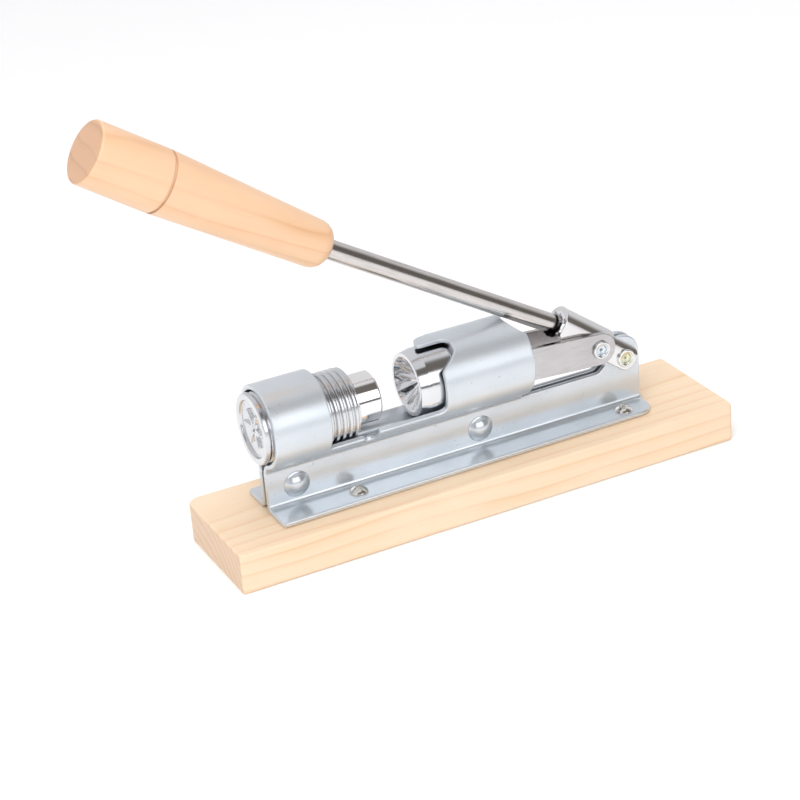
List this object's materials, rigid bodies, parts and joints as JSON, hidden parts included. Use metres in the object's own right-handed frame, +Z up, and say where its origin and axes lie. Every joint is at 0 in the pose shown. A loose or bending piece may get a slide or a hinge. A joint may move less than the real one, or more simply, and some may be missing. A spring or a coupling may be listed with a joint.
{
  "type": "lever nutcracker",
  "caption": "Bench lever nutcracker: a screw anvil and a lever-driven sliding plunger in a folded steel rail on a wooden board.",
  "frame": {"origin": "centre of the board's underside", "axes": "+X along the board towards the lever pivot, +Z up, -Y the side with the tall trough wall"},
  "size_m": [0.2899, 0.061, 0.2103],
  "materials": {
    "pine": "satin",
    "beech": "satin",
    "rail_paint": "satin",
    "bright_nickel": "polished",
    "zinc": "cast",
    "chrome": "polished",
    "warm_nickel": "brushed",
    "steel": "satin",
    "blue_zinc": "satin",
    "yellow_zinc": "satin"
  },
  "bodies": {
    "frame": {"pine_board": "pine", "wood_screws": "bright_nickel", "frame_rail": "rail_paint", "rail_rivets": "rail_paint", "rail_spacers": "steel", "pivot_spacer": "steel", "pivot_washers": "steel", "guide_bush": "steel"},
    "anvil_slide": {"anvil_nose": "chrome"},
    "anvil_turn": {"anvil_screw": "zinc"},
    "plunger": {"plunger": "chrome", "plunger_pin": "steel"},
    "link": {"link_near": "warm_nickel", "link_far": "warm_nickel"},
    "lever": {"lever_yoke": "chrome", "yoke_weld": "chrome", "pivot_rivet": "yellow_zinc", "link_rivet": "blue_zinc", "lever_rod": "warm_nickel", "handle": "beech"}
  },
  "joints": [
    {"name": "lever_pivot", "type": "hinge", "parent": "frame", "child": "lever", "pos_m": [0.0819, 0, 0.045], "axis": [0, 1, 0], "range_deg": [0, 75]},
    {"name": "link_pivot", "type": "hinge", "parent": "lever", "child": "link", "pos_m": [0.06756, 0, 0.05413], "axis": [0, 1, 0], "range_deg": [-84, 0]},
    {"name": "plunger_travel", "type": "slide", "parent": "frame", "child": "plunger", "axis": [1, 0, 0], "range_m": [0, 0.0184]},
    {"name": "anvil_travel", "type": "slide", "parent": "frame", "child": "anvil_slide", "axis": [1, 0, 0], "range_m": [-0.012, 0.012]},
    {"name": "anvil_spin", "type": "hinge", "parent": "anvil_slide", "child": "anvil_turn", "pos_m": [-0.078, 0, 0.0595], "axis": [1, 0, 0], "range_deg": [-1440.5, 1440.5]}
  ],
  "couplings": [
    {"joint": "link_pivot", "follows": "lever_pivot", "ratio": -1.107},
    {"joint": "plunger_travel", "follows": "lever_pivot", "m_per_rad": 0.0139},
    {"joint": "anvil_spin", "follows": "anvil_travel", "rad_per_m": 2094.4}
  ]
}
